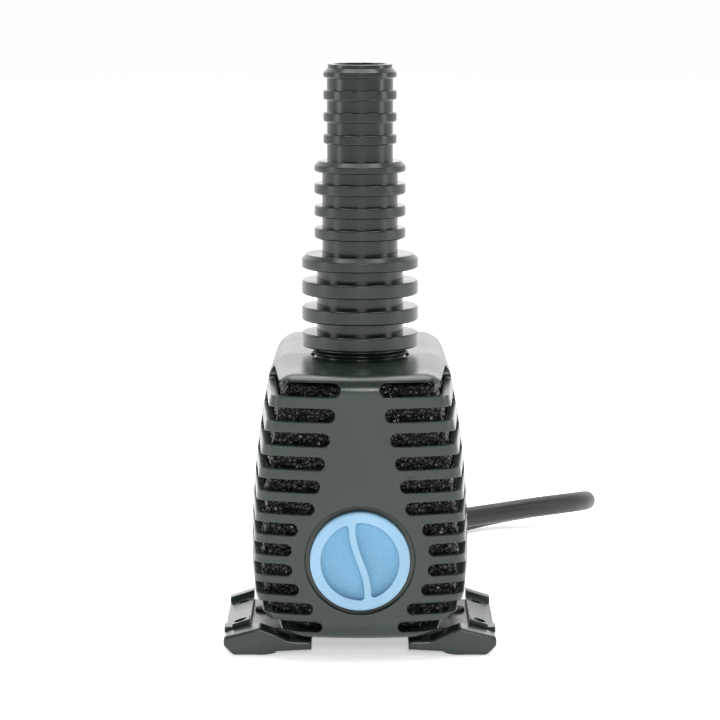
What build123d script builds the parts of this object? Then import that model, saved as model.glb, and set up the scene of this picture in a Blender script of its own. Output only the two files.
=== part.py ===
from build123d import *
import math
import os

os.makedirs("parts", exist_ok=True)

# Fountain submersible pump. Millimetres, +Z up, front towards -Y.
# Depths (y values) are counted from the vertical axis of the hose outlet, and the
# whole pump is moved at export so that the origin is the centre of its footprint.

# Housing
body_front = 38.0        # outlet axis to the front of the cage
body_rear = 53.0         # outlet axis to the back of the rear shell
body_top = 77.6
body_bottom = 4.8
body_half_width = 29.8   # at the widest height
widest_z = 25.0
side_radius = 235.0      # barrel curve of the sides
front_radius = 70.0      # the front face bulges forward
top_corner = 7.0
bottom_corner = 15.0
edge_round = 4.5         # front and rear edges
front_draft = 1.9        # the front is narrower than the seam
rear_draft = 0.8
wall = 2.0
gap = 0.3                # between pieces that move apart
slack = 0.1              # between fixed pieces
mate_slip = 0.2          # sliding lip of the front cage
seam_lip = 3.0
lip_thickness = 1.8

# Intake slots
slot_rows = 12
slot_top_z = 73.1
slot_pitch = 6.75
slot_pitch_step = 0.19   # each pitch is smaller than the one above
slot_height = 3.8
slot_height_step = 0.075
slot_seam_margin = 3.0
slot_top_inner = 4.6
slot_fan = 0.21          # inner ends spread outwards on the way down
slot_low_inner = 10.0
slot_knob_margin = 3.6
rear_slot_rows = (3, 4, 6, 7, 8, 9)
rear_slot_front = 12.0
rear_slot_back = 42.0
rib_z = 43.2

# Pump axis, shared by the knob, the regulator, the impeller and the rotor
axis_z = 27.5

# Flow knob
knob_diameter = 26.4
knob_proud = 1.0
knob_recess_depth = 2.2
knob_recess_lip = 1.45
knob_rim = 2.8
knob_pocket_depth = 1.7
knob_edge = 0.4
rib_width = 1.8
rib_sway = 1.7
rib_flare = 1.6
spindle_diameter = 6.0
spindle_clearance = 0.05
clip_thickness = 0.8
clip_bore = 2.3
clip_radius = 4.6
spindle_screw_depth = 5.0
screw_core = 1.2

# Pump chamber
chamber_radius = 15.8
chamber_wall = 2.4
chamber_front = 9.0      # outlet axis to the front of the chamber ring
chamber_rear = 9.0
inlet_cover_thickness = 2.5
inlet_eye_radius = 11.0
inlet_port_angle = 84.0
regulator_thickness = 1.8
regulator_radius = 13.0
regulator_gap = 1.5
chamber_back = 2.5
seal_radius = 0.75
screw_circle = 20.5
screw_angle = 30.0
screw_ear = 3.0
screw_shank = 2.9
screw_head = 5.4
screw_head_height = 1.8
screw_length = 9.0
screw_drive = 0.8
ear_depth = 7.0
riser_radius = 12.0
riser_bore = 7.5
seal_inset = 0.4
hub_front = -5.4
magnet_edge = 0.6
boot_anchor = 3.0        # length of the lead's root inside the resin

# Hose outlet, G 3/4 thread
thread_major = 26.44
thread_pitch = 1.814
thread_depth = 1.16
thread_clearance = 0.25
socket_wall = 2.1
socket_top_gap = 0.8     # socket rim below the roof of the cage
thread_engaged = 12.0
gasket_thickness = 2.0
gasket_land = 4.0

# Stepped hose adapter: outer, root, ring height, pitch, rings, lowest ring's underside
adapter_bore = 14.3
adapter_top = 157.0
steps = (
    {"ring": 32.0, "root": 23.7, "height": 3.85, "pitch": 7.15, "start": 80.1},
    {"ring": 25.0, "root": 20.7, "height": 2.95, "pitch": 6.05, "start": 109.7},
    {"ring": 20.0, "root": 18.0, "height": 2.75, "pitch": 5.97, "start": 135.4},
)
rings_per_step = 4
ring_edge = 0.35
nose_chamfer = 1.2

# Motor
motor_front = 18.0
motor_rear = 48.0
motor_half_width = 22.0
motor_bottom = 9.0
motor_top = 70.0
motor_corner = 5.0
motor_wall = 2.2
motor_neck = 15.0        # radius of the neck behind the chamber
well_radius = 10.8
well_wall = 1.3
well_end = 44.0
core_front = 26.5
core_rear = 41.5
core_half_width = 18.5
core_bottom = 14.0
core_top = 59.0
yoke_height = 7.0
core_window_half = 12.4
core_window_bottom = 40.0
pole_gap_low = 2.0
pole_gap_high = 8.0
bobbin_wall = 1.0
winding_build = 5.0
cap_thickness = 2.5
fuse_diameter = 2.2
fuse_length = 9.0

# Rotor
magnet_radius = 10.0
magnet_front = 14.0
magnet_rear = 40.0
shaft_diameter = 3.0
shaft_clearance = 0.05
shaft_front = -9.3
shaft_rear = 43.7
impeller_radius = 13.2
impeller_blades = 6
blade_thickness = 1.4
blade_height = 9.8
impeller_disc = 1.6
impeller_back = 6.0
hub_radius = 4.0
washer_thickness = 0.6
bush_radius = 3.4
bush_length = 3.0
bush_wall = 0.9

# Base
base_half_width = 36.7
base_wing_inner = 29.9
base_wing_rear = 16.0
base_lip_rear = 19.5
base_top_outer = 4.0
base_top_inner = 6.2
base_underside = 1.6
base_floor_top = 4.2
arm_front = -31.0
arm_rear = -24.5
arm_inner = 13.0
foot_crown = 7.7
foot_crown_x = 27.0
foot_inner = 22.5
foot_toe = 1.1
foot_sole = 0.2
arm_outer_top = 5.2
arm_round = 1.4
arm_edge = 0.9
lip_rise = 1.5
boss_height = 2.2
boss_front = -23.2
boss_rear = -18.5
boss_notch = 34.6
fixing_hole = 3.4
fixing_x = 32.4
fixing_y = -20.8
fixing_rear_y = 12.0
spine_half_width = 11.0
spine_rear = 49.0
spine_front = -16.0
cup_radius = 4.6
cup_height = 2.2
cup_stem = 2.2
cup_stem_top = 5.2
cup_x = 27.0
cup_y = (-25.0, 5.5)
pad_x = 10.5
pad_y = 42.0
pad_radius = 4.5
hook_x = 8.0
hook_y = (24.0, 41.0)
hook_length = 5.0
hook_thickness = 1.6
hook_head = 1.1
hook_rise = 0.5          # the rear shell's floor rises to the back
spine_bar = 16.0
seat_depth = 6.0
pad_stem = 1.8
cup_round = 0.5
cup_rim = 0.9
cup_hollow = 1.3

# Mains lead
cord_diameter = 6.0
gland_x = 14.0
gland_z = 15.5
boot_bend = 32.0         # the strain relief curves with the lead
boot_turn = 60.0
boot_segments = 7
boot_root_radius = 5.2
boot_tip_radius = 3.9
boot_collar_radius = 6.6
boot_collar = 2.4
boot_core_radius = 4.2
boot_rib = 0.7
boot_rib_share = 0.55
arc_share = 0.45         # of the shorter run beside a corner
lead_points = (
    (38.1, 85.4, 15.7), (49.4, 91.4, 16.3), (60.4, 98.0, 16.5), (71.2, 108.3, 15.4),
    (75.3, 120.2, 13.6), (73.3, 132.6, 10.7), (65.2, 142.3, 7.7), (53.3, 146.6, 5.4),
    (40.9, 144.2, 3.6), (29.5, 133.2, 3.0), (20.5, 122.3, 3.0), (14.0, 110.5, 3.6),
)

# Stored length of the lead, folded into a hank behind the pump
hank_x = -5.0
hank_front = 66.0
hank_rear = 190.0
hank_fold = 21.0         # radius of the folds, to the middle of the run
hank_run_width = 12.0
hank_height = 18.0
hank_rest = 0.9          # the straps lie under the turns
strap_width = 7.0
strap_thickness = 0.9
strap_y = 150.0
plug_x = -4.0
plug_tail_y = 134.0
plug_width = 35.0
plug_height = 14.0
plug_length = 34.0
plug_round = 5.0
plug_tail_length = 16.0
plug_tail_radius = 4.2
pin_diameter = 4.0
pin_length = 19.0
pin_spacing = 18.6

# Values worked out from the sizes above
front_y = -body_front
knob_face = front_y - knob_proud
frame_shift = -(knob_face + body_rear) / 2
knob_radius = knob_diameter / 2
recess_floor = front_y + knob_recess_depth
recess_radius = knob_radius + knob_recess_lip
spindle_radius = spindle_diameter / 2
thread_radius = thread_major / 2
socket_bore = thread_radius + thread_clearance
socket_radius = socket_bore + socket_wall
socket_top = body_top - wall - socket_top_gap
thread_start = steps[0]["start"]
adapter_foot = socket_top - thread_engaged
seat_z = adapter_foot - slack - gasket_thickness
chamber_outer = chamber_radius + chamber_wall
foam_rear = socket_radius + 2 * gap
cord_radius = cord_diameter / 2
shaft_radius = shaft_diameter / 2
cover_back = -chamber_front
cover_front = cover_back - inlet_cover_thickness
disc_back = cover_front - regulator_gap
disc_front = disc_back - regulator_thickness
port_inner = bush_radius + bush_wall + gap
clip_front = recess_floor + 3 * wall + slack


def emit(name, shape):
    """Write one node, moved so that the origin is the centre of the footprint."""
    export_step(Pos(0, frame_shift, 0) * shape, "parts/" + name + ".step")


def rod(radius, y0, y1, x=0.0, z=axis_z):
    """Round bar along Y."""
    return Pos(x, (y0 + y1) / 2, z) * Rot(90, 0, 0) * Cylinder(radius, abs(y1 - y0))


def post(radius, z0, z1, x=0.0, y=0.0):
    """Round bar along Z."""
    return Pos(x, y, (z0 + z1) / 2) * Cylinder(radius, z1 - z0)


def block(x0, x1, y0, y1, z0, z1):
    return Pos((x0 + x1) / 2, (y0 + y1) / 2, (z0 + z1) / 2) * Box(x1 - x0, y1 - y0, z1 - z0)


def outline(inset, draft=0.0):
    """Front view of the housing: barrel sides, flat top and bottom, round corners."""
    side = side_radius - inset - draft
    centre = side_radius - body_half_width
    low = body_bottom + inset + draft / 2
    high = body_top - inset - draft / 2
    face = Pos(-centre, widest_z) * Circle(side) & Pos(centre, widest_z) * Circle(side)
    face = face & Pos(0, (low + high) / 2) * Rectangle(4 * body_half_width, high - low)
    face = fillet(face.vertices().group_by(Axis.Y)[-1], top_corner - inset)
    return fillet(face.vertices().group_by(Axis.Y)[0], bottom_corner - inset)


def front_form(inset):
    """Front half of the housing, from the seam to the bulging front face."""
    seam = Plane.XZ * outline(inset)
    nose = Plane.XZ.offset(body_front) * outline(inset, front_draft)
    form = loft([seam, nose])
    bulge = post(front_radius - inset, 0, 2 * body_top, y=front_y + front_radius)
    form = form & bulge
    face = form.faces().filter_by(GeomType.CYLINDER).sort_by(Axis.Y)[0]
    return fillet(face.edges(), edge_round - inset)


def rear_form(inset):
    """Rear half of the housing, from the seam to its flat back."""
    seam = Plane.XZ * outline(inset)
    back = Plane.XZ.offset(inset - body_rear) * outline(inset, rear_draft)
    form = loft([seam, back])
    return fillet(form.faces().sort_by(Axis.Y)[-1].edges(), edge_round - inset)


def row_height(row):
    """Height of a slot's middle; the pitch shrinks row by row."""
    return slot_top_z - slot_pitch * row + slot_pitch_step * row * (row - 1) / 2


def slot_row(row, spread=0.0):
    """One intake slot on each side: rounded inner end, wrapped round to the seam."""
    z = row_height(row)
    height = slot_height - slot_height_step * row + 2 * spread
    fan = slot_top_inner + slot_fan * (body_top - wall - z) if z > axis_z else slot_low_inner
    keep = recess_radius + slot_knob_margin
    beside = math.sqrt(max(keep ** 2 - (z - axis_z) ** 2, 0))
    inner = max(fan, beside) - spread
    length = 2 * body_half_width
    across = SlotOverall(length, height)
    along = SlotOverall(2 * length, height)
    rear = -slot_seam_margin + spread
    cuts = []
    for side in (-1, 1):
        face = Plane.XZ * Pos(side * (inner + length / 2), z) * across
        front = Pos(0, rear, 0) * extrude(face, 3 * body_front)
        wrap = Plane.YZ * Pos(rear - length, z) * along
        cuts.append(front & extrude(wrap, length * side))
    return cuts


def seam_ring(inset, length):
    """Ring inside the seam; it reaches forwards, or backwards for a negative length."""
    ring = outline(inset) - outline(wall + lip_thickness)
    return extrude(Plane.XZ * ring, length)


def front_cage():
    """Front half shell with its intake slots and the recess for the knob."""
    outer = front_form(0)
    way = socket_radius + gap
    shell = outer - front_form(wall)
    lip = seam_ring(wall + mate_slip, -seam_lip) + seam_ring(wall - mate_slip, seam_lip)
    lip = lip - block(-way, way, -body_front, body_rear, axis_z, body_top)
    hub = rod(recess_radius + wall, recess_floor, recess_floor + 2 * wall) & outer
    shell = shell + hub - rod(recess_radius, front_y - 1, recess_floor)
    neck = rod(spindle_radius + wall, recess_floor, recess_floor + 3 * wall)
    shell = shell + neck + lip
    shell = shell - rod(spindle_radius + spindle_clearance, front_y, recess_floor + 4 * wall)
    for row in range(slot_rows):
        for cut in slot_row(row):
            shell = shell - cut
    return shell - post(thread_radius + gap, seat_z, body_top + 1)


def side_rib(side):
    """Rib that holds the motor off the side of the rear shell."""
    x0 = side * (motor_half_width + slack)
    x1 = side * (body_half_width - wall / 2)
    rib = block(min(x0, x1), max(x0, x1), motor_front, motor_rear, rib_z, rib_z + wall)
    return rib & rear_form(wall / 2)


def rear_cage():
    """Rear half shell, with the opening that the mains lead leaves by."""
    shell = rear_form(0) - rear_form(wall)
    shell = shell - post(thread_radius + gap, seat_z, body_top + 1)
    for row in rear_slot_rows:
        z = row_height(row)
        cut = Plane.YZ * Pos((rear_slot_front + rear_slot_back) / 2, z) * SlotOverall(
            rear_slot_back - rear_slot_front, slot_height)
        shell = shell - extrude(cut, 2 * body_half_width, both=True)
    for side in (-1, 1):
        shell = shell + side_rib(side)
        for y in hook_y:
            x = side * hook_x
            half = hook_length / 2 + slack
            shell = shell - block(x - half, x + half, y - hook_thickness, y + hook_thickness, 0, motor_bottom)
    return shell - rod(boot_root_radius + gap, motor_rear, body_rear + 1, gland_x, gland_z)


def front_foam():
    """Filter foam behind the intake slots, hollowed for the pump chamber."""
    pad = front_form(wall + slack)
    pad = pad - extrude(Plane.XZ * outline(0), seam_lip + slack)
    ears = screw_circle + screw_ear
    room = rod(chamber_outer + 2 * gap, -foam_rear, 0)
    room = room + block(-ears, ears, -foam_rear, 0, axis_z - chamber_outer, axis_z + chamber_outer)
    way = socket_radius + 2 * gap
    room = room + block(-way, way, -foam_rear, 0, axis_z, body_top)
    pad = pad - room
    pad = pad - rod(recess_radius + wall + gap, front_y, recess_floor + 2 * wall + gap)
    return pad - rod(spindle_radius + wall + gap, front_y, -foam_rear + 1)


def flow_knob():
    """Knob with two finger pockets either side of an S-shaped grip, and its spindle."""
    back = recess_floor - gap
    disc = chamfer(rod(knob_radius, knob_face, back).edges().group_by(Axis.Y)[0], knob_edge)
    reach = knob_radius - knob_rim
    grip = Spline((-rib_sway, reach + 1), (-rib_sway, reach / 2), (0, 0),
                  (rib_sway, -reach / 2), (rib_sway, -reach - 1))
    pockets = Circle(reach) - trace(grip, rib_width)
    pockets = fillet(pockets.vertices(), rib_flare / 2)
    face = Plane.XZ.offset(-knob_face) * Pos(0, axis_z) * pockets
    disc = disc - extrude(face, -knob_pocket_depth)
    spindle = rod(spindle_radius, back, disc_front - slack) + rod(spindle_radius - 1, back, disc_back)
    groove = rod(spindle_radius + 1, clip_front, clip_front + clip_thickness) - rod(clip_bore, front_y, 0)
    tip = rod(screw_core + slack, disc_back - spindle_screw_depth, disc_back + 1)
    return disc + spindle - groove - tip


def spindle_clip():
    """Retaining ring that keeps the knob in the cage."""
    ring = rod(clip_radius, clip_front + slack / 2, clip_front + clip_thickness - slack / 2)
    ring = ring - rod(clip_bore + slack / 2, front_y, 0)
    mouth = clip_bore * 0.8
    return ring - block(-mouth, mouth, front_y, 0, axis_z - 2 * clip_radius, axis_z)


def ports(y0, y1, inner, outer, angle):
    """Two kidney openings, left and right of the pump axis."""
    ring = rod(outer, y0, y1) - rod(inner, y0, y1)
    rise = outer * math.tan(math.radians(angle / 2))
    wedge = Polygon((0, 0), (2 * outer, 2 * rise), (2 * outer, -2 * rise), align=None)
    wedges = wedge + Rot(0, 0, 180) * wedge
    return ring & extrude(Plane.XZ.offset(-y1) * Pos(0, axis_z) * wedges, y1 - y0)


def regulator_disc():
    """Shutter on the spindle's end; a quarter turn covers the inlet ports."""
    disc = rod(regulator_radius, disc_front, disc_back)
    disc = disc - rod(spindle_radius - 1 + slack / 2, disc_front, disc_back)
    return disc - ports(disc_front, disc_back, port_inner, inlet_eye_radius, inlet_port_angle)


def regulator_screw():
    """Screw that holds the shutter on the spindle."""
    head = rod(screw_head / 2 - 0.5, disc_back + slack / 2, cover_front - slack)
    return head + rod(screw_core, disc_back - spindle_screw_depth + slack, disc_back + slack)


def ear_spots():
    """Centres of the four chamber screws, as (x, z)."""
    spots = []
    for turn in (screw_angle, 180 - screw_angle, 180 + screw_angle, -screw_angle):
        angle = math.radians(turn)
        spots.append((screw_circle * math.cos(angle), axis_z + screw_circle * math.sin(angle)))
    return spots


def ears(y0, y1, hole):
    """Screw ears round the chamber, joined to its wall by webs."""
    shape = rod(chamber_outer, y0, y1)
    for x, z in ear_spots():
        shape = shape + rod(screw_ear, y0, y1, x, z)
    for x, z in ear_spots():
        shape = shape - rod(hole, y0 - 1, y1 + 1, x, z)
    return shape


def pump_chamber():
    """Chamber round the impeller, with the riser and the threaded outlet socket."""
    body = ears(cover_back, cover_back + ear_depth, screw_shank / 2 - slack)
    body = body + rod(chamber_outer, cover_back, chamber_rear)
    riser = post(riser_radius, axis_z, seat_z) + post(socket_radius, seat_z - socket_wall, socket_top)
    above = axis_z + chamber_outer + gap
    riser = riser - block(-foam_rear, foam_rear, -foam_rear, cover_back, 0, above)
    riser = riser - block(-foam_rear, foam_rear, chamber_rear, foam_rear, 0, above)
    body = body + riser
    body = body - rod(chamber_radius, cover_back, chamber_rear - chamber_back)
    body = body - rod(well_radius, 0, chamber_rear)
    body = body - post(riser_bore, axis_z, socket_top) - post(socket_bore, seat_z, socket_top)
    groove_outer = chamber_radius + seal_inset + 2 * seal_radius + slack
    groove = rod(groove_outer, cover_back, cover_back + 2 * seal_radius)
    return body - (groove - rod(chamber_radius + seal_inset - slack, cover_back, 0))


def cover_seal():
    """O-ring between the chamber and its cover."""
    ring = Torus(chamber_radius + seal_inset + seal_radius, seal_radius - slack / 2)
    return Pos(0, cover_back + seal_radius, axis_z) * Rot(90, 0, 0) * ring


def inlet_cover():
    """Cover with two inlet ports and the holder of the front bush."""
    cover = ears(cover_front, cover_back, screw_shank / 2 + slack)
    cover = cover - ports(cover_front, cover_back, port_inner, inlet_eye_radius, inlet_port_angle)
    cover = cover + rod(bush_radius + bush_wall, cover_front, shaft_front + bush_length)
    return cover - rod(bush_radius, shaft_front - slack, cover_back + bush_length)


def cover_screws():
    """Four screws through the cover into the chamber ears."""
    pieces = []
    for x, z in ear_spots():
        head = rod(screw_head / 2, cover_front - screw_head_height, cover_front, x, z)
        head = chamfer(head.edges().group_by(Axis.Y)[0], knob_edge)
        shank = rod(screw_shank / 2 - slack, cover_front, cover_front + screw_length, x, z)
        cross = block(x - screw_shank / 2, x + screw_shank / 2, front_y, cover_front - screw_head_height / 2,
                      z - screw_drive / 2, z + screw_drive / 2)
        cross = cross + Pos(x, 0, z) * Rot(0, 90, 0) * Pos(-x, 0, -z) * cross
        pieces.append(head + shank - cross)
    return Compound(pieces)


def bush(y0, y1):
    """Rubber bush that holds one end of the shaft."""
    return rod(bush_radius - slack / 2, y0, y1) - rod(shaft_radius, y0, y1)


def front_bush():
    return bush(shaft_front, shaft_front + bush_length)


def rear_bush():
    return bush(well_end - slack - bush_length, well_end - slack)


def rotor_shaft():
    """Ceramic shaft; the rotor turns on it."""
    return rod(shaft_radius, shaft_front, shaft_rear)


def thrust_washers():
    """Washers on the shaft, one at each end of the rotor."""
    washers = []
    for y in (shaft_front + bush_length + slack, magnet_rear + slack):
        washer = rod(bush_radius - slack, y, y + washer_thickness)
        washers.append(washer - rod(shaft_radius + shaft_clearance, y, y + washer_thickness))
    return Compound(washers)


def impeller():
    """Impeller with straight radial blades, for a motor that may start either way."""
    front = impeller_back - impeller_disc - blade_height
    wheel = rod(impeller_radius, impeller_back - impeller_disc, impeller_back)
    wheel = wheel + rod(hub_radius, hub_front, magnet_front)
    for blade in range(impeller_blades):
        vane = block(hub_radius / 2, impeller_radius, front, impeller_back - impeller_disc,
                     axis_z - blade_thickness / 2, axis_z + blade_thickness / 2)
        turn = Pos(0, 0, axis_z) * Rot(0, blade * 360 / impeller_blades, 0) * Pos(0, 0, -axis_z)
        wheel = wheel + turn * vane
    return wheel - rod(shaft_radius + shaft_clearance, hub_front - blade_height, magnet_front)


def rotor_magnet():
    """Two-pole magnet behind the impeller, with round edges."""
    magnet = rod(magnet_radius, magnet_front, magnet_rear)
    magnet = fillet(magnet.edges(), magnet_edge)
    return magnet - rod(shaft_radius + shaft_clearance, magnet_front, magnet_rear)


def motor_box(inset, y0, y1):
    """Rounded block of the motor, made smaller by the inset."""
    width = 2 * (motor_half_width - inset)
    height = motor_top - motor_bottom - 2 * inset
    face = RectangleRounded(width, height, motor_corner - inset)
    return extrude(Plane.XZ.offset(-y1) * Pos(0, (motor_top + motor_bottom) / 2) * face, y1 - y0)


def rotor_well(radius, end):
    return rod(radius, chamber_rear, end)


def motor_can():
    """Motor housing with the blind rotor well; its back is open for filling."""
    can = motor_box(0, motor_front, motor_rear) + rod(motor_neck, chamber_rear, motor_front)
    hollow = motor_box(motor_wall, motor_front + motor_wall, motor_rear)
    hollow = hollow - rod(well_radius + well_wall, motor_front, well_end + well_wall)
    return can - hollow - rotor_well(well_radius, well_end) + rear_seat()


def rear_seat():
    """Collar in the end of the well round the rear bush."""
    start = well_end - slack - bush_length
    return rod(well_radius + well_wall / 2, start, well_end) - rod(bush_radius, start, well_end)


def stator_core():
    """Laminated U core whose poles reach round the rotor well."""
    core = block(-core_half_width, core_half_width, core_front, core_rear, core_bottom, core_top)
    core = core - block(-core_window_half, core_window_half, core_front, core_rear,
                        core_window_bottom, core_top - yoke_height)
    core = core - rod(well_radius + well_wall + slack, core_front, core_rear)
    core = core - block(-pole_gap_low, pole_gap_low, core_front, core_rear, core_bottom, axis_z)
    return core - block(-pole_gap_high, pole_gap_high, core_front, core_rear, axis_z, core_window_bottom)


def yoke_sleeve(grow, x):
    """Block round the yoke, grown on every side."""
    low = core_top - yoke_height - grow
    return block(-x, x, core_front - grow, core_rear + grow, low, core_top + grow)


def coil_bobbin():
    """Spool of the coil, on the yoke."""
    half = core_window_half - slack
    spool = yoke_sleeve(bobbin_wall + slack, half)
    cheeks = yoke_sleeve(bobbin_wall + winding_build, half)
    cheeks = cheeks - yoke_sleeve(bobbin_wall + winding_build + 1, half - bobbin_wall)
    return spool + cheeks - yoke_sleeve(slack, core_half_width)


def coil_winding():
    """Enamelled wire, as one block with round corners."""
    half = core_window_half - bobbin_wall - 2 * slack
    wire = yoke_sleeve(bobbin_wall + winding_build - slack, half)
    wire = fillet(wire.edges().filter_by(Axis.X), winding_build / 2)
    return wire - yoke_sleeve(bobbin_wall + 2 * slack, half)


def fuse_height():
    return core_top + bobbin_wall + winding_build + fuse_diameter / 2


def thermal_fuse():
    """Thermal cut-out lying on the coil."""
    place = Pos(0, (core_front + core_rear) / 2, fuse_height()) * Rot(0, 90, 0)
    return place * Cylinder(fuse_diameter / 2, fuse_length)


def potting_resin():
    """Resin that fills the motor round the coil and the core."""
    resin = motor_box(motor_wall + slack, motor_front + motor_wall + slack, motor_rear - slack)
    resin = resin - rod(well_radius + well_wall + slack, motor_front, well_end + well_wall + slack)
    half = core_window_half
    resin = resin - block(-core_half_width - slack, core_half_width + slack, core_front - slack,
                          core_rear + slack, core_bottom - slack, core_top + slack)
    coil = yoke_sleeve(bobbin_wall + winding_build + slack, half)
    fuse = Pos(0, (core_front + core_rear) / 2, fuse_height()) * Rot(0, 90, 0)
    resin = resin - coil - fuse * Cylinder(fuse_diameter / 2 + slack, fuse_length + 2 * slack)
    return resin - rod(boot_core_radius + slack, motor_rear - boot_anchor, motor_rear, gland_x, gland_z)


def motor_cap():
    """Plate that closes the motor, with the hole for the mains lead."""
    cap = motor_box(0, motor_rear, motor_rear + cap_thickness)
    cap = chamfer(cap.faces().sort_by(Axis.Y)[-1].edges(), knob_edge)
    return cap - rod(boot_core_radius + slack, motor_rear, body_rear, gland_x, gland_z)


def outlet_gasket():
    """Flat washer under the end of the adapter."""
    top = seat_z + gasket_thickness
    return post(thread_radius - gap, seat_z, top) - post(thread_radius - gasket_land, seat_z, top)


def step_outline(step, base):
    """Points of one step's barbed side, from the piece below to its top ring."""
    ring = step["ring"] / 2
    root = step["root"] / 2
    points = [(root, base)] if base < step["start"] else []
    for index in range(rings_per_step):
        low = step["start"] + index * step["pitch"]
        high = low + step["height"]
        edge = nose_chamfer if index == rings_per_step - 1 else ring_edge
        points += [(root, low), (ring - ring_edge, low), (ring, low + ring_edge)]
        points += [(ring, high - edge), (ring - edge, high), (root, high)]
    return points


def thread_outline():
    """Points of the male thread, one blunt ridge for each turn."""
    crest = thread_radius
    root = crest - thread_depth
    turns = int((thread_start - adapter_foot) / thread_pitch)
    points = [(root, adapter_foot)]
    for turn in range(turns):
        z = adapter_foot + (turn + 0.25) * thread_pitch
        points += [(root, z), (crest, z + thread_pitch * 0.3)]
        points += [(crest, z + thread_pitch * 0.45), (root, z + thread_pitch * 0.75)]
    return points


def hose_adapter():
    """Stepped hose adapter: male thread below, three barbed steps above."""
    points = [(adapter_bore / 2, adapter_foot)] + thread_outline()
    base = thread_start
    points.append((points[-1][0], base))
    for step in steps:
        points += step_outline(step, base)
        base = points[-1][1]
    points[-1] = (steps[-1]["ring"] / 2 - nose_chamfer, adapter_top)
    points.append((adapter_bore / 2, adapter_top))
    face = make_face(Polyline(*points, close=True))
    return revolve(Plane.XZ * face, Axis.Z)


def wing(side):
    """Sloping side wing of the base with a raised lip at each end."""
    def slab(raise_by, y0, y1):
        corners = [(base_wing_inner, base_underside), (base_half_width, base_underside),
                   (base_half_width, base_top_outer + raise_by), (base_wing_inner, base_top_inner + raise_by)]
        face = Polygon(*corners, align=None)
        return extrude(Plane.XZ.offset(-y1) * face, y1 - y0)
    shape = slab(0, arm_rear, base_lip_rear)
    shape = shape + slab(lip_rise, base_wing_rear, base_lip_rear)
    shape = shape + slab(boss_height, boss_front, boss_rear) - block(
        boss_notch, base_half_width + 1, boss_front - 1, boss_rear + 1, base_top_inner, 2 * foot_crown)
    for y in (fixing_y, fixing_rear_y):
        shape = shape - post(fixing_hole / 2, 0, 2 * foot_crown, fixing_x, y)
    return shape if side > 0 else mirror(shape, Plane.YZ)


def arm(side):
    """Front arm of the base, with a rounded foot that reaches the floor."""
    low = (arm_inner, base_underside)
    sole = [(foot_inner, foot_toe), (foot_inner + 5, foot_sole), (base_half_width - 2.6, foot_sole)]
    heel = [(base_half_width, base_underside + foot_toe), (base_half_width, arm_outer_top)]
    top = [(foot_crown_x, foot_crown), (foot_crown_x - 4, base_top_inner)]
    inner = [(foot_crown_x - 8, base_floor_top + slack), (arm_inner, base_floor_top - slack)]
    face = Polygon(low, *sole, *heel, *top, *inner, align=None)
    face = fillet(face.vertices().sort_by(Axis.X)[2:], arm_round)
    shape = extrude(Plane.XZ.offset(-arm_rear) * face, arm_rear - arm_front)
    shape = fillet(shape.edges().group_by(Axis.Y)[0], arm_edge)
    rear = block(arm_inner, base_wing_inner, arm_rear, spine_front, base_underside, base_floor_top - slack)
    return shape + rear if side > 0 else mirror(shape + rear, Plane.YZ)


def base_plate():
    """Base: wings and arms at the sides, a floor, and a spine under the motor."""
    wide = base_wing_inner
    plate = block(-wide, wide, spine_front, base_lip_rear, base_underside, base_floor_top)
    plate = plate + block(-spine_half_width, spine_half_width, 0, spine_rear, base_underside, base_floor_top)
    cross = block(-spine_bar, spine_bar, pad_y - pad_radius - 1, spine_rear, base_underside, base_floor_top)
    cross = fillet(cross.edges().filter_by(Axis.Z), pad_radius - 1)
    plate = plate + cross
    plate = plate + block(-spine_half_width, spine_half_width, gap, gap + seat_depth, base_underside, body_bottom)
    for side in (-1, 1):
        plate = plate + wing(side) + arm(side)
        plate = plate + hooks(side)
        for y in cup_y:
            plate = plate - cup_socket(side * cup_x, y)
        plate = plate - post(pad_stem + slack, 0, body_bottom, side * pad_x, pad_y)
    return plate


def hooks(side):
    """Snap hooks that hold the rear shell down on the base."""
    x = side * hook_x
    half = hook_length / 2
    parts = []
    for y in hook_y:
        stem = block(x - half, x + half, y - hook_thickness / 2, y + hook_thickness / 2,
                     base_floor_top, body_bottom + wall + hook_rise + hook_head)
        head_z = body_bottom + wall + hook_rise
        head = block(x - half, x + half, y - hook_thickness / 2, y + hook_thickness, head_z, head_z + hook_head)
        parts.append(stem + head)
    return parts


def cup_socket(x, y):
    """Room for one suction cup and its stem."""
    pocket = post(cup_radius + gap, 0, cup_height + slack, x, y)
    return pocket + post(cup_stem + slack, 0, cup_stem_top + slack, x, y)


def suction_cup(x, y):
    """Rubber suction cup, hollow underneath, on a stem."""
    cup = post(cup_radius, 0, cup_height, x, y) + post(cup_stem, 0, cup_stem_top, x, y)
    cup = fillet(cup.faces().sort_by(Axis.Z)[-1].edges(), cup_round)
    hollow = Pos(x, y, cup_hollow / 2) * Cone(cup_radius - cup_rim, cup_radius / 3, cup_hollow)
    return cup - hollow


def rear_pads():
    """Two rubber pads under the spine."""
    pads = []
    for side in (-1, 1):
        pad = post(pad_radius, 0, base_underside, side * pad_x, pad_y)
        pad = chamfer(pad.faces().sort_by(Axis.Z)[0].edges(), ring_edge)
        pads.append(pad + post(pad_stem, 0, base_floor_top, side * pad_x, pad_y))
    return Compound(pads)


def boot_place(angle, length=0.0):
    """Plane on the strain relief's curved middle line, facing along it."""
    turn = math.radians(angle)
    x = gland_x + boot_bend * (1 - math.cos(turn))
    y = body_rear + boot_bend * math.sin(turn)
    return Plane(origin=(x, y, gland_z), x_dir=(0, 0, 1), z_dir=(math.sin(turn), math.cos(turn), 0))


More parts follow.
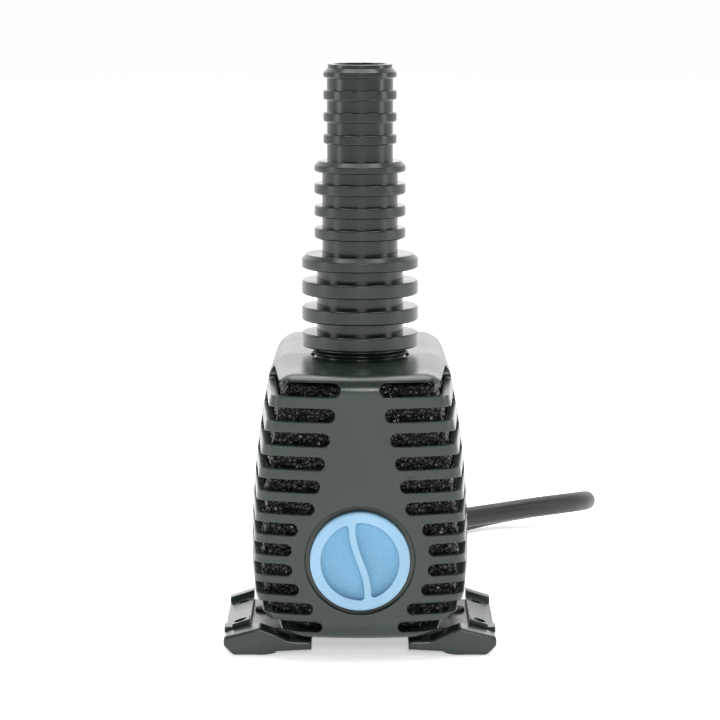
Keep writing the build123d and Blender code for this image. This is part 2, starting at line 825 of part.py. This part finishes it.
def cable_boot():
    """Ribbed rubber strain relief, rooted in the resin and curved with the lead."""
    root = rod(boot_core_radius, motor_rear - boot_anchor, body_rear, gland_x, gland_z)
    collar = rod(boot_collar_radius, body_rear + gap, body_rear + gap + boot_collar, gland_x, gland_z)
    boot = root + fillet(collar.edges().group_by(Axis.Y)[-1], ring_edge)
    step = boot_turn / boot_segments
    for index in range(boot_segments):
        share = index / (boot_segments - 1)
        radius = boot_root_radius + (boot_tip_radius - boot_root_radius) * share
        length = boot_bend * math.radians(step)
        neck = boot_place((index + 0.5) * step) * Cylinder(radius - boot_rib, length + slack)
        rib = boot_place((index + 0.4) * step) * Cylinder(radius, length * boot_rib_share)
        boot = boot + neck + rib
    trim = boot_place(boot_turn) * Pos(0, 0, boot_bend / 2) * Box(boot_bend, boot_bend, boot_bend)
    return boot - trim


def lead_path():
    """Middle line of the lead's loose stretch: straight runs joined by tangent arcs."""
    tip = boot_place(boot_turn).origin
    points = [tip] + [Vector(*point) for point in lead_points]
    radii = []
    for before, here, after in zip(points, points[1:], points[2:]):
        run = min((here - before).length, (after - here).length)
        turn = math.radians((here - before).get_angle(after - here))
        radii.append(arc_share * run / math.tan(turn / 2))
    print("lead radii", [round(radius) for radius in radii])
    return FilletPolyline(*points, radius=radii)


def mains_lead():
    """Loose stretch of the mains lead, from the strain relief to the hank."""
    path = lead_path()
    tube = sweep(Plane(origin=path @ 0, z_dir=path % 0) * Circle(cord_radius), path)
    print("lead length", round(path.length), "volume", round(tube.volume),
          "section x length", round(math.pi * cord_radius ** 2 * path.length))
    return tube


def race(grow):
    """Top view of the hank: two straight runs and two round folds."""
    straight = hank_rear - hank_front - 2 * hank_fold - hank_run_width
    return SlotCenterToCenter(straight, 2 * (hank_fold + grow))


def lead_hank():
    """Outer shape of the folded stored length."""
    ring = race(hank_run_width / 2) - race(-hank_run_width / 2)
    place = Pos(hank_x, (hank_front + hank_rear) / 2, hank_rest) * Rot(0, 0, 90)
    hank = extrude(place * ring, hank_height)
    return fillet(hank.edges().filter_by(Plane.XY), cord_radius * 0.8)


def hank_ties():
    """Straps round the two runs of the hank."""
    ties = []
    for side in (-1, 1):
        x = hank_x + side * hank_fold
        half = hank_run_width / 2 + slack
        top = hank_rest + hank_height + slack
        outer = block(x - half - strap_thickness, x + half + strap_thickness, strap_y, strap_y + strap_width,
                      0, top + strap_thickness)
        ties.append(outer - block(x - half, x + half, strap_y, strap_y + strap_width, hank_rest, top))
    return Compound(ties)


def plug_body():
    """Moulded two-pin plug lying on the hank, with its tapered tail."""
    low = hank_rest + hank_height + slack
    middle = low + plug_height / 2
    front = plug_tail_y - plug_tail_length - plug_length
    body = block(plug_x - plug_width / 2, plug_x + plug_width / 2, front, front + plug_length,
                 low, low + plug_height)
    body = fillet(body.edges().filter_by(Axis.Y), plug_round)
    body = fillet(body.edges().group_by(Axis.Y)[-1], plug_round / 2)
    tail = Pos(plug_x, plug_tail_y - plug_tail_length / 2, middle) * Rot(-90, 0, 0)
    tail = tail * Cone(plug_height / 2 - 1, plug_tail_radius, plug_tail_length)
    for side in (-1, 1):
        x = plug_x + side * pin_spacing / 2
        body = body - rod(pin_diameter / 2, front, front + pin_length / 2, x, middle)
    return body + tail


def plug_pins():
    """Two round plug pins with domed ends."""
    middle = hank_rest + hank_height + slack + plug_height / 2
    front = plug_tail_y - plug_tail_length - plug_length
    pins = []
    for side in (-1, 1):
        x = plug_x + side * pin_spacing / 2
        pin = rod(pin_diameter / 2, front - pin_length, front + pin_length / 2, x, middle)
        pins.append(fillet(pin.edges().group_by(Axis.Y)[0], pin_diameter / 2 - slack))
    return Compound(pins)


def build():
    """Write every node."""
    pieces = {
        "front_cage": front_cage(),
        "rear_cage": rear_cage(),
        "front_foam": front_foam(),
        "flow_knob": flow_knob(),
        "spindle_clip": spindle_clip(),
        "regulator_disc": regulator_disc(),
        "regulator_screw": regulator_screw(),
        "pump_chamber": pump_chamber(),
        "cover_seal": cover_seal(),
        "inlet_cover": inlet_cover(),
        "cover_screws": cover_screws(),
        "front_bush": front_bush(),
        "rear_bush": rear_bush(),
        "rotor_shaft": rotor_shaft(),
        "thrust_washers": thrust_washers(),
        "impeller": impeller(),
        "rotor_magnet": rotor_magnet(),
        "motor_can": motor_can(),
        "stator_core": stator_core(),
        "coil_bobbin": coil_bobbin(),
        "coil_winding": coil_winding(),
        "thermal_fuse": thermal_fuse(),
        "potting_resin": potting_resin(),
        "motor_cap": motor_cap(),
        "outlet_gasket": outlet_gasket(),
        "hose_adapter": hose_adapter(),
        "base_plate": base_plate(),
        "rear_pads": rear_pads(),
        "cable_boot": cable_boot(),
        "mains_lead": mains_lead(),
        "lead_hank": lead_hank(),
        "hank_ties": hank_ties(),
        "plug_body": plug_body(),
        "plug_pins": plug_pins(),
    }
    corners = (("front_left", -cup_x, cup_y[0]), ("front_right", cup_x, cup_y[0]),
               ("rear_left", -cup_x, cup_y[1]), ("rear_right", cup_x, cup_y[1]))
    for corner, x, y in corners:
        pieces["suction_cup_" + corner] = suction_cup(x, y)
    for name, shape in pieces.items():
        emit(name, shape)


build()
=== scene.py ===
import math
import bpy
import bmesh
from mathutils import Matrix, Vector


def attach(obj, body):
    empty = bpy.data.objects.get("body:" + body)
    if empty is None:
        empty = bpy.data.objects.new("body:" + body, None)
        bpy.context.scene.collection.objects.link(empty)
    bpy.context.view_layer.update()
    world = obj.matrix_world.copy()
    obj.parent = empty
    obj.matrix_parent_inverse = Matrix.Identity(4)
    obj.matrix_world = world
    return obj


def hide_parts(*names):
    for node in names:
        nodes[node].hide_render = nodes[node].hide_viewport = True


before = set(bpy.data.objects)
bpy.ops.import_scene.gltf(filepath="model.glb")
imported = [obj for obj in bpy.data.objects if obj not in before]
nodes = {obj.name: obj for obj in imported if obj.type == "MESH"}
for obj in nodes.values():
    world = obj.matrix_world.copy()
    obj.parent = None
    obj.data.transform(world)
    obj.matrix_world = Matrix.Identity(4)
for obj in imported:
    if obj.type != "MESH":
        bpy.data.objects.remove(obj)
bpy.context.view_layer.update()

frameShift = -7.0  # mm, from the outlet axis to the frame's origin along Y


def mm(x, y, z):  # millimetres from the outlet axis, as in the part's source, to frame metres
    return (x / 1000, (y + frameShift) / 1000, z / 1000)


def toLinear(hexColour):  # sRGB hex to linear RGBA
    parts = [int(hexColour[i:i + 2], 16) / 255 for i in (1, 3, 5)]
    linear = [c / 12.92 if c <= 0.04045 else ((c + 0.055) / 1.055) ** 2.4 for c in parts]
    return (*linear, 1.0)


def addNode(tree, kind, settings=None, **links):  # one node, its settings, and its inputs by name
    node = tree.nodes.new(kind)
    for key, value in (settings or {}).items():
        setattr(node, key, value)
    for name, value in links.items():
        socket = node.inputs[int(name[1:]) if name[0] == "n" and name[1:].isdigit() else name.replace("_", " ")]
        if isinstance(value, bpy.types.NodeSocket):
            tree.links.new(value, socket)
        else:
            socket.default_value = value
    return node


def newMaterial(name):  # a bare material: (material, its tree, its shader, Object coordinates)
    material = bpy.data.materials.new(name)
    material.use_nodes = True
    tree = material.node_tree
    tree.nodes.clear()
    shader = addNode(tree, "ShaderNodeBsdfPrincipled")
    output = addNode(tree, "ShaderNodeOutputMaterial")
    tree.links.new(shader.outputs["BSDF"], output.inputs["Surface"])
    place = addNode(tree, "ShaderNodeTexCoord").outputs["Object"]
    return material, tree, shader, place


def mixColours(tree, share, low, high):  # a soft change between two hex colours, as share goes from 0 to 1
    ramp = addNode(tree, "ShaderNodeValToRGB", Fac=share)
    ramp.color_ramp.elements[0].color = toLinear(low)
    ramp.color_ramp.elements[1].color = toLinear(high)
    ramp.color_ramp.elements[0].position = 0.3
    ramp.color_ramp.elements[1].position = 0.7
    return ramp.outputs["Color"]


# camera: the outlet axis is 821 mm away, and it looks down by 8.2 degrees
cameraSetting = {"lens": 150.8, "place": (0.0, -0.828, 0.1943), "tilt": 81.79}
cameraData = bpy.data.cameras.new("camera")
cameraData.lens = cameraSetting["lens"]
cameraData.sensor_width = 36
camera = bpy.data.objects.new("camera", cameraData)
camera.location = cameraSetting["place"]
camera.rotation_euler = (math.radians(cameraSetting["tilt"]), 0, 0)
bpy.context.scene.collection.objects.link(camera)
bpy.context.scene.camera = camera
print("camera set")

# mains lead: the loose stretch, six turns of the hank, and the rise to the plug
lead = {
    "diameter": 0.006, "length": 1.8, "tip": (30.0, 80.7, 15.5),
    "hankX": -5.0, "frontFold": 93.0, "rearFold": 163.0, "foldPoints": 6,
    "lanes": (24.0, 18.0, 18.0, 24.0, 24.0, 18.0), "layers": (3.9, 3.9, 9.9, 9.9, 15.9, 15.9),
    "runEnds": (116.0, 140.0), "lastLane": 18.0, "lastLayer": 23.4, "lastFoldBack": 4.0,
}
leadRoute = [
    (30.0, 80.7, 15.5), (38.1, 85.4, 15.7), (49.4, 91.4, 16.3), (60.4, 98.0, 16.5), (69.2, 107.9, 15.6),
    (72.2, 119.4, 13.8), (70.0, 131.2, 10.9), (63.2, 141.2, 7.9), (53.3, 146.6, 5.4), (41.5, 143.6, 3.8),
    (31.0, 134.0, 3.2), (23.0, 123.0, 3.3), (19.2, 111.0, 3.8),
]
turns = list(zip(lead["lanes"], lead["layers"]))
for count, (lane, layer) in enumerate(turns):
    last = count == len(turns) - 1
    nextLane, nextLayer = (lead["lastLane"], lead["lastLayer"]) if last else turns[count + 1]
    rear = lead["rearFold"] + (lead["lastFoldBack"] if last else 0.0)
    for step in range(lead["foldPoints"] + 1):
        angle = math.pi * step / lead["foldPoints"]
        leadRoute.append((lead["hankX"] + lane * math.cos(angle),
                          lead["frontFold"] - lane * math.sin(angle), layer))
    for y in lead["runEnds"]:
        leadRoute.append((lead["hankX"] - lane, y, layer))
    for step in range(lead["foldPoints"] + 1):
        share = step / lead["foldPoints"]
        angle = math.pi * share
        radius = lane + (nextLane - lane) * share
        leadRoute.append((lead["hankX"] - radius * math.cos(angle), rear + radius * math.sin(angle),
                          layer + (nextLayer - layer) * share))
    if not last:
        for y in reversed(lead["runEnds"]):
            leadRoute.append((lead["hankX"] + nextLane, y, nextLayer))
leadRoute += [  # rises over the straps and runs straight into the plug's tail
    (11.5, 157.0, 24.6), (4.5, 149.0, 25.6), (-2.5, 141.5, 26.0), (-4.0, 136.0, 26.0), (-4.0, 132.0, 26.0),
]
leadCurve = bpy.data.curves.new("mainsCord", "CURVE")
leadCurve.dimensions = "3D"
leadCurve.bevel_depth = 1.0  # each point carries the real radius
leadCurve.bevel_resolution = 5
leadCurve.resolution_u = 6
leadCurve.use_fill_caps = True
spline = leadCurve.splines.new("NURBS")
spline.points.add(len(leadRoute) - 1)
for point, place in zip(spline.points, leadRoute):
    point.co = (*mm(*place), 1.0)
    point.radius = lead["diameter"] / 2
spline.order_u = 3
spline.use_endpoint_u = True
mainsCord = bpy.data.objects.new("mainsCord", leadCurve)
bpy.context.scene.collection.objects.link(mainsCord)
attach(mainsCord, "housing")
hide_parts("mains_lead", "lead_hank")
print("mains lead laid")

# filter foam: open cells cut inwards from the CAD block's faces
foam = {"voxel": 0.0006, "cell": 0.0016, "depth": 0.0014}
foamMesh = nodes["front_foam"].data.copy()
foamPiece = bpy.data.objects.new("filterFoam", foamMesh)
bpy.context.scene.collection.objects.link(foamPiece)
remesh = foamPiece.modifiers.new("remesh", "REMESH")
remesh.mode = "VOXEL"
remesh.voxel_size = foam["voxel"]
cells = bpy.data.textures.new("foamCells", "VORONOI")
cells.noise_scale = foam["cell"]
cells.distance_metric = "DISTANCE"
cells.noise_intensity = 1.0
pits = foamPiece.modifiers.new("pits", "DISPLACE")
pits.texture = cells
pits.texture_coords = "LOCAL"
pits.mid_level = 1.0
pits.strength = foam["depth"]
evaluated = foamPiece.evaluated_get(bpy.context.evaluated_depsgraph_get())
foamPiece.data = bpy.data.meshes.new_from_object(evaluated)
foamPiece.modifiers.clear()
foamPiece.data.shade_smooth()
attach(foamPiece, "cage")
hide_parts("front_foam")
print("foam made", len(foamPiece.data.polygons), "faces")

# Finishes. Sizes in mm. grain: bump size and depth, cloud: size of the colour's drift,
# edge: width of the rounded edge, lines: spacing of fine lines along an axis.
finishes = {
    # acrylonitrile styrene shell, spark-eroded mould: satin, a faint fine grain, green-grey cast
    "housingAbs": {"low": "#1d2a22", "high": "#28352b", "rough": (0.22, 0.3), "grain": (0.45, 0.012), "cloud": 22,
                   "edge": 0.5, "ior": 1.52},
    # polypropylene adapter, turned mould: glossier, banded by flow, faint green cast
    "adapterPp": {"low": "#151f1b", "high": "#1f2a24", "rough": (0.17, 0.25), "grain": (0.5, 0.01), "cloud": 14,
                  "edge": 0.35, "ior": 1.49},
    # same shell plastic, thicker and scuffed by handling: a little duller
    "baseAbs": {"low": "#1c2821", "high": "#27332b", "rough": (0.18, 0.26), "grain": (0.6, 0.02), "cloud": 12,
                "edge": 0.45, "ior": 1.52},
    # glass-filled nylon inner parts: matt, slightly mottled black
    "innerNylon": {"low": "#1c1e1e", "high": "#262928", "rough": (0.45, 0.6), "grain": (0.4, 0.02), "cloud": 8,
                   "edge": 0.3, "ior": 1.53},
    # acetal impeller and washers: waxy off-white
    "acetal": {"low": "#d9d8d0", "high": "#e6e5de", "rough": (0.28, 0.36), "grain": (0.5, 0.008), "cloud": 10,
               "edge": 0.2, "ior": 1.48},
    # nitrile rubber: dull black with a chalky bloom
    "nitrileRubber": {"low": "#1b1c1c", "high": "#27292a", "rough": (0.55, 0.75), "grain": (0.35, 0.03),
                      "cloud": 6, "edge": 0.3, "ior": 1.52},
    # soft vinyl strain relief, plug and straps: smooth dark grey with soft gloss
    "softVinyl": {"low": "#181c1c", "high": "#222626", "rough": (0.36, 0.46), "grain": (0.4, 0.015), "cloud": 9,
                  "edge": 0.5, "ior": 1.53},
    # sintered ferrite, ground: dark grey with a fine speckle
    "ferrite": {"low": "#2a2a2c", "high": "#3a3a3d", "rough": (0.4, 0.55), "grain": (0.25, 0.02), "cloud": 1.5,
                "edge": 0.3, "ior": 2.0},
    # polished alumina shaft: cream white, glossy
    "alumina": {"low": "#ebe6d8", "high": "#f3efe4", "rough": (0.12, 0.2), "grain": (0.5, 0.004), "cloud": 12,
                "edge": 0.15, "ior": 1.76},
    # silicon steel laminations: grey, with the edge of each sheet showing along the stack
    "laminatedSteel": {"low": "#77777a", "high": "#8e8e92", "rough": (0.32, 0.5), "grain": (0.5, 0.01), "cloud": 9,
                       "edge": 0.2, "metallic": 1.0, "lines": ("Y", 0.5)},
    # stainless screws, clip: bright with light brushing
    "stainless": {"low": "#b6b8ba", "high": "#c9cbcd", "rough": (0.2, 0.32), "grain": (0.3, 0.006), "cloud": 3,
                  "edge": 0.15, "metallic": 1.0},
    # enamelled copper wire: red-brown with a ridge for each wire
    "enamelCopper": {"low": "#8a4526", "high": "#a85a33", "rough": (0.22, 0.34), "grain": (0.4, 0.01), "cloud": 4,
                     "edge": 0.2, "metallic": 1.0, "lines": ("Z", 0.5)},
    # cast epoxy potting: black, glossy, slightly wavy
    "epoxy": {"low": "#0f0f10", "high": "#17181a", "rough": (0.1, 0.2), "grain": (6.0, 0.05), "cloud": 15,
              "edge": 0.3, "ior": 1.55},
    # nickel-plated brass pins: warm silver, polished
    "nickelPlate": {"low": "#c4bfb2", "high": "#d2cec3", "rough": (0.16, 0.26), "grain": (0.4, 0.005), "cloud": 4,
                    "edge": 0.2, "metallic": 1.0},
}


def makeFinish(name, finish):
    material, tree, shader, place = newMaterial(name)
    grainSize, grainDepth = finish["grain"]
    cloud = addNode(tree, "ShaderNodeTexNoise", Vector=place, Scale=1000 / finish["cloud"], Detail=4.0)
    grain = addNode(tree, "ShaderNodeTexNoise", Vector=place, Scale=1000 / grainSize, Detail=3.0)
    colour = mixColours(tree, cloud.outputs["Fac"], finish["low"], finish["high"])
    tree.links.new(colour, shader.inputs["Base Color"])
    low, high = finish["rough"]
    rough = addNode(tree, "ShaderNodeMapRange", Value=cloud.outputs["Fac"], From_Min=0.3, From_Max=0.7,
                    To_Min=low, To_Max=high)
    tree.links.new(rough.outputs["Result"], shader.inputs["Roughness"])
    if "metallic" in finish:
        shader.inputs["Metallic"].default_value = finish["metallic"]
    else:
        shader.inputs["IOR"].default_value = finish["ior"]
    rounded = addNode(tree, "ShaderNodeBevel", {"samples": 6}, Radius=finish["edge"] / 1000)
    height, depth = grain.outputs["Fac"], grainDepth
    if "lines" in finish:
        axis, spacing = finish["lines"]
        wave = addNode(tree, "ShaderNodeTexWave", {"bands_direction": axis}, Vector=place,
                       Scale=1000 / spacing / (10 / math.pi), Distortion=0.2)  # 10 / pi bands in a unit of scale
        height, depth = wave.outputs["Fac"], 0.08
    bump = addNode(tree, "ShaderNodeBump", Height=height, Distance=depth / 1000, Strength=1.0,
                   Normal=rounded.outputs["Normal"])
    tree.links.new(bump.outputs["Normal"], shader.inputs["Normal"])
    return material


finishOf = {
    "housingAbs": ("front_cage", "rear_cage"),
    "adapterPp": ("hose_adapter",),
    "baseAbs": ("base_plate",),
    "innerNylon": ("regulator_disc", "pump_chamber", "inlet_cover", "motor_can", "motor_cap", "coil_bobbin"),
    "acetal": ("impeller", "thrust_washers"),
    "nitrileRubber": ("cover_seal", "front_bush", "rear_bush", "outlet_gasket", "rear_pads",
                      "suction_cup_front_left", "suction_cup_front_right", "suction_cup_rear_left", "suction_cup_rear_right"),
    "softVinyl": ("cable_boot", "hank_ties", "plug_body"),
    "ferrite": ("rotor_magnet",),
    "alumina": ("rotor_shaft",),
    "laminatedSteel": ("stator_core",),
    "stainless": ("spindle_clip", "regulator_screw", "cover_screws", "thermal_fuse"),
    "enamelCopper": ("coil_winding",),
    "epoxy": ("potting_resin",),
    "nickelPlate": ("plug_pins",),
}


def dress(piece, material):
    piece.data.materials.clear()
    piece.data.materials.append(material)


for name, members in finishOf.items():
    material = makeFinish(name, finishes[name])
    for member in members:
        dress(nodes[member], material)

# light blue acetal knob: smooth rim and grip, sandy spark-eroded pockets; the pockets' darker colour is painted
# shade in the recesses
knob = {"rim": "#93bcd6", "rimShade": "#89b2cc", "pocket": "#6b9fc0", "pocketShade": "#7aadcb", "step": -0.0453,
        "grain": 0.35, "depth": 0.05, "cloud": 9, "edge": 0.4, "rough": (0.34, 0.6)}
material, tree, shader, place = newMaterial("blueAcetal")
parts = addNode(tree, "ShaderNodeSeparateXYZ", Vector=place)
inPocket = addNode(tree, "ShaderNodeMath", {"operation": "GREATER_THAN"}, n0=parts.outputs["Y"], n1=knob["step"])
sand = addNode(tree, "ShaderNodeTexNoise", Vector=place, Scale=1000 / knob["grain"], Detail=2.0)
drift = addNode(tree, "ShaderNodeTexNoise", Vector=place, Scale=1000 / knob["cloud"], Detail=2.0)
rimColour = mixColours(tree, drift.outputs["Fac"], knob["rimShade"], knob["rim"])
# pocket colours: the knob's blue darkened as painted shade in the recessed pockets
pocketPaintedShadeColour = mixColours(tree, sand.outputs["Fac"], knob["pocket"], knob["pocketShade"])
blend = addNode(tree, "ShaderNodeMix", {"data_type": "RGBA"}, n0=inPocket.outputs["Value"])
tree.links.new(rimColour, blend.inputs[6])
tree.links.new(pocketPaintedShadeColour, blend.inputs[7])
tree.links.new(blend.outputs[2], shader.inputs["Base Color"])
rough = addNode(tree, "ShaderNodeMapRange", Value=inPocket.outputs["Value"], To_Min=knob["rough"][0],
                To_Max=knob["rough"][1])
tree.links.new(rough.outputs["Result"], shader.inputs["Roughness"])
depth = addNode(tree, "ShaderNodeMath", {"operation": "MULTIPLY"}, n0=inPocket.outputs["Value"],
                n1=sand.outputs["Fac"])
rounded = addNode(tree, "ShaderNodeBevel", {"samples": 6}, Radius=knob["edge"] / 1000)
bump = addNode(tree, "ShaderNodeBump", Height=depth.outputs["Value"], Distance=knob["depth"] / 1000,
               Normal=rounded.outputs["Normal"])
tree.links.new(bump.outputs["Normal"], shader.inputs["Normal"])
shader.inputs["IOR"].default_value = 1.48
dress(nodes["flow_knob"], material)

# reticulated polyurethane foam: black strands that catch the light between deep cells, whose hollows are painted
# near-black as shade; sizes in mm
strands = {"pore": 1.1, "edge": 0.14, "hollow": "#020203", "strand": "#1d2021", "rough": 0.32, "height": 0.6}
material, tree, shader, place = newMaterial("polyurethaneFoam")
cell = addNode(tree, "ShaderNodeTexVoronoi", {"feature": "DISTANCE_TO_EDGE"}, Vector=place,
               Scale=1000 / strands["pore"])
strand = addNode(tree, "ShaderNodeMapRange", Value=cell.outputs["Distance"], From_Min=0.0,
                 From_Max=strands["edge"], To_Min=1.0, To_Max=0.0)
# the foam's own black on the strands, painted shade in the cell hollows between them
strandAndCellShadeColour = mixColours(tree, strand.outputs["Result"], strands["hollow"], strands["strand"])
tree.links.new(strandAndCellShadeColour, shader.inputs["Base Color"])
shader.inputs["Roughness"].default_value = strands["rough"]
bump = addNode(tree, "ShaderNodeBump", Height=strand.outputs["Result"], Distance=strands["height"] / 1000)
tree.links.new(bump.outputs["Normal"], shader.inputs["Normal"])
dress(foamPiece, material)

# chloroprene sheath: satin grey-black with a fine grain; sizes in mm
sheath = {"low": "#0c1111", "high": "#141a1a", "rough": (0.4, 0.52), "cloud": 12, "grain": 0.5, "depth": 0.02}
material, tree, shader, place = newMaterial("chloropreneSheath")
drift = addNode(tree, "ShaderNodeTexNoise", Vector=place, Scale=1000 / sheath["cloud"], Detail=4.0)
tree.links.new(mixColours(tree, drift.outputs["Fac"], sheath["low"], sheath["high"]), shader.inputs["Base Color"])
rough = addNode(tree, "ShaderNodeMapRange", Value=drift.outputs["Fac"], From_Min=0.3, From_Max=0.7,
                To_Min=sheath["rough"][0], To_Max=sheath["rough"][1])
tree.links.new(rough.outputs["Result"], shader.inputs["Roughness"])
grain = addNode(tree, "ShaderNodeTexNoise", Vector=place, Scale=1000 / sheath["grain"], Detail=3.0)
bump = addNode(tree, "ShaderNodeBump", Height=grain.outputs["Fac"], Distance=sheath["depth"] / 1000)
tree.links.new(bump.outputs["Normal"], shader.inputs["Normal"])
leadCurve.materials.append(material)
print("finishes set")

# studio: pale floor, even white surround, soft boxes
bpy.context.scene.view_settings.view_transform = "Standard"
world = bpy.data.worlds.new("studioWorld")
world.use_nodes = True
studio = {"front": 0.06, "back": 1.7}  # white sweep behind the object, dim room behind the camera
tree = world.node_tree
way = addNode(tree, "ShaderNodeSeparateXYZ", Vector=addNode(tree, "ShaderNodeTexCoord").outputs["Generated"])
bright = addNode(tree, "ShaderNodeMapRange", {"interpolation_type": "SMOOTHSTEP"}, Value=way.outputs["Y"],
                 From_Min=0.0, From_Max=0.8, To_Min=studio["front"], To_Max=studio["back"])
tree.links.new(bright.outputs["Result"], tree.nodes["Background"].inputs["Strength"])
tree.nodes["Background"].inputs["Color"].default_value = (1.0, 1.0, 1.0, 1.0)
bpy.context.scene.world = world
floorMesh = bpy.data.meshes.new("studioFloor")
shape = bmesh.new()
bmesh.ops.create_grid(shape, x_segments=1, y_segments=1, size=20)
shape.to_mesh(floorMesh)
shape.free()
floor = bpy.data.objects.new("studioFloor", floorMesh)
bpy.context.scene.collection.objects.link(floor)
material, tree, shader, place = newMaterial("paperSweep")
drift = addNode(tree, "ShaderNodeTexNoise", Vector=place, Scale=3.0, Detail=2.0)
tree.links.new(mixColours(tree, drift.outputs["Fac"], "#f4f3f7", "#f7f6f9"), shader.inputs["Base Color"])
shader.inputs["Roughness"].default_value = 0.9
shader.inputs["Specular IOR Level"].default_value = 0.1
shader.inputs["Emission Color"].default_value = (1.0, 1.0, 1.0, 1.0)
shader.inputs["Emission Strength"].default_value = 0.5  # the sweep is lit from below as well
dress(floor, material)

lights = {
    "topBox": {"place": (0.0, 0.3, 1.3), "size": (1.2, 0.9), "power": 15},
    "leftBox": {"place": (-1.1, -0.25, 0.5), "size": (0.35, 0.9), "power": 5},
    "rightBox": {"place": (1.1, -0.15, 0.5), "size": (0.35, 0.9), "power": 5},
    "frontBox": {"place": (0.1, -1.3, 0.55), "size": (0.5, 0.25), "power": 7},
}
for name, spec in lights.items():
    data = bpy.data.lights.new(name, "AREA")
    data.shape = "RECTANGLE"
    data.size, data.size_y = spec["size"]
    data.energy = spec["power"]
    lamp = bpy.data.objects.new(name, data)
    lamp.location = spec["place"]
    aim = Vector((0, 0, 0.06)) - lamp.location
    lamp.rotation_euler = aim.to_track_quat("-Z", "Y").to_euler()
    bpy.context.scene.collection.objects.link(lamp)
print("studio lit")

bpy.context.view_layer.update()
